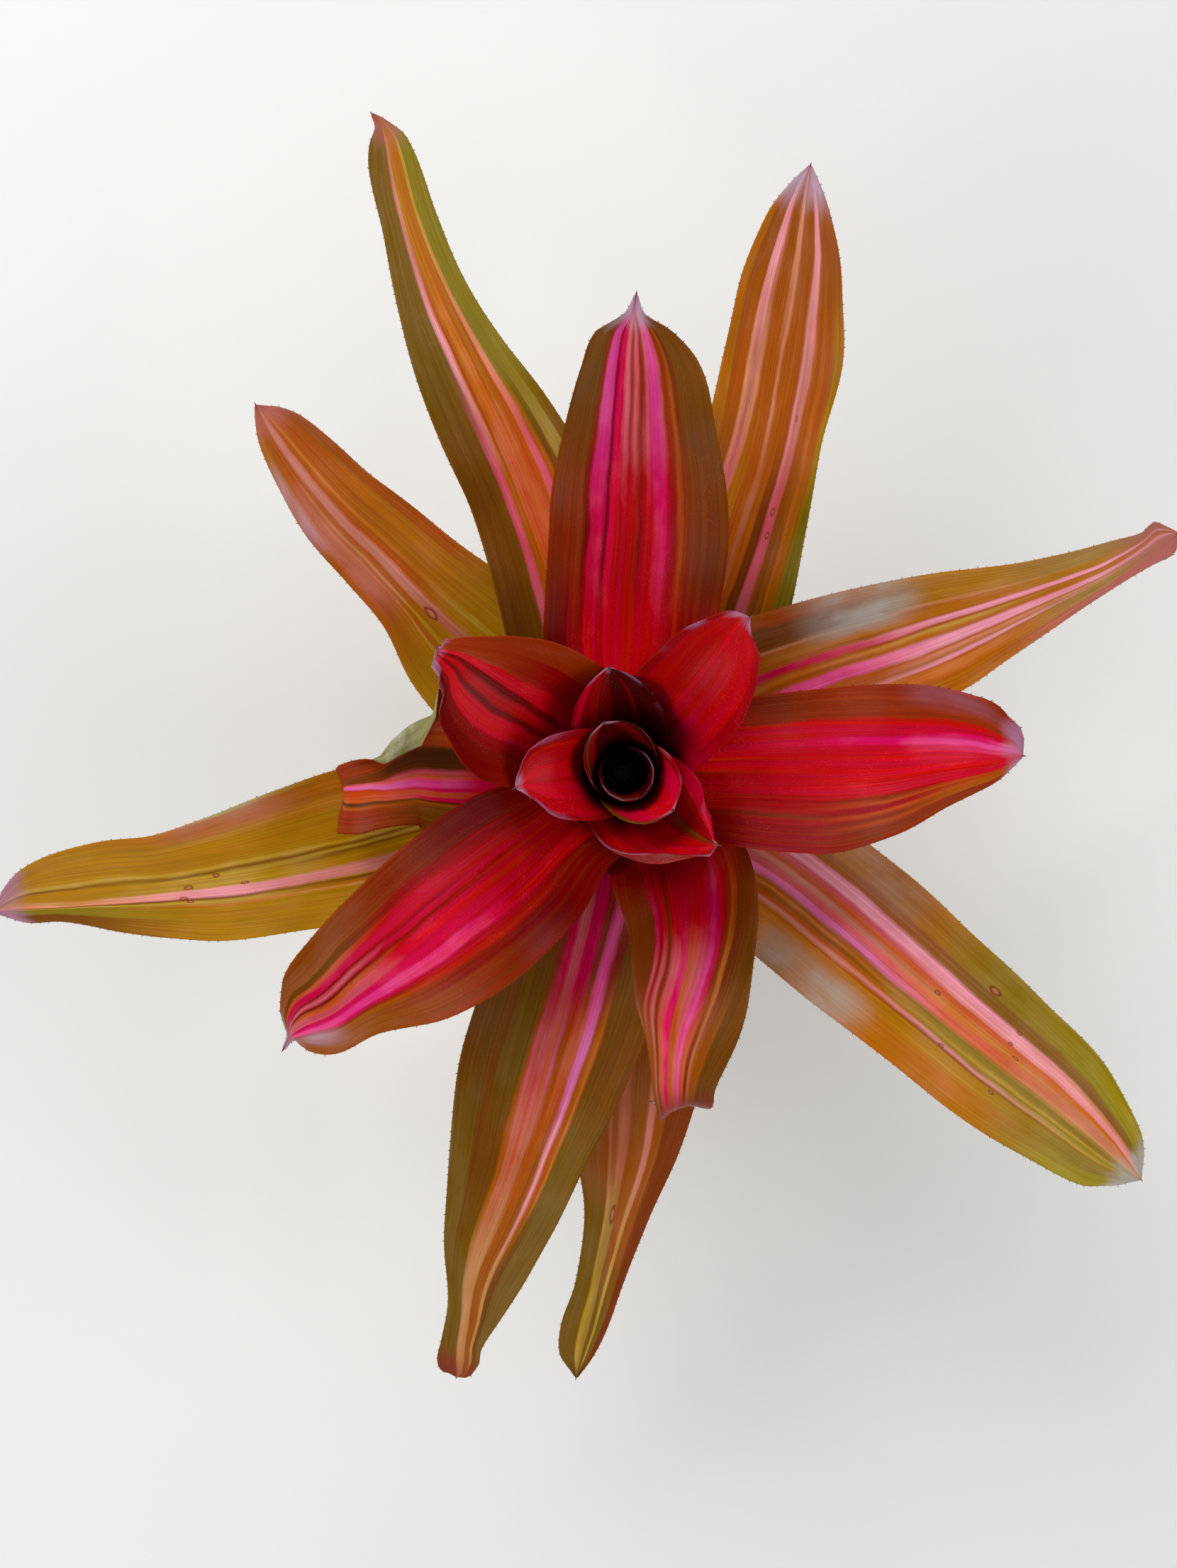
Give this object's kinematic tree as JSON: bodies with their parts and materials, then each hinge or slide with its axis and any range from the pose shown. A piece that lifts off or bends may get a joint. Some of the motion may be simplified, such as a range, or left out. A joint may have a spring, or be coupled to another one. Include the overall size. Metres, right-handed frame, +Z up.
{
  "type": "potted neoregelia bromeliad",
  "caption": "Potted neoregelia bromeliad: an open rosette of strap leaves, deep red and rolled at the heart, striped pink and olive outside, in a plain clay pot.",
  "frame": {"origin": "centre of the pot's foot, on the axis that the rosette grows round", "axes": "+Z up along the stem; seen from above with +X to the right, +Y is the way the picture's top edge lies"},
  "size_m": [0.4202, 0.4609, 0.2441],
  "materials": {
    "young_leaf": "satin",
    "middle_leaf": "satin",
    "outer_leaf": "satin",
    "stem_flesh": "matte",
    "peat_and_bark": "matte",
    "fired_clay": "matte"
  },
  "bodies": {
    "root": {"tube_leaf_inner": "young_leaf", "tube_leaf_outer": "young_leaf", "cup_leaf_lower_right": "young_leaf", "cup_leaf_left": "young_leaf", "cup_leaf_top": "young_leaf", "cup_leaf_lower": "young_leaf", "heart_leaf_upper_right": "young_leaf", "heart_leaf_upper_left": "young_leaf", "middle_leaf_right": "middle_leaf", "middle_leaf_top": "middle_leaf", "middle_leaf_lower_left": "middle_leaf", "middle_leaf_bottom": "middle_leaf", "middle_leaf_left": "middle_leaf", "outer_leaf_right": "outer_leaf", "outer_leaf_upper_left": "outer_leaf", "outer_leaf_bottom_left": "outer_leaf", "outer_leaf_lower_right": "outer_leaf", "outer_leaf_left_upper": "outer_leaf", "outer_leaf_left": "outer_leaf", "outer_leaf_upper_right": "outer_leaf", "outer_leaf_bottom": "outer_leaf", "stem": "stem_flesh", "potting_mix": "peat_and_bark", "pot": "fired_clay"}
  },
  "joints": []
}
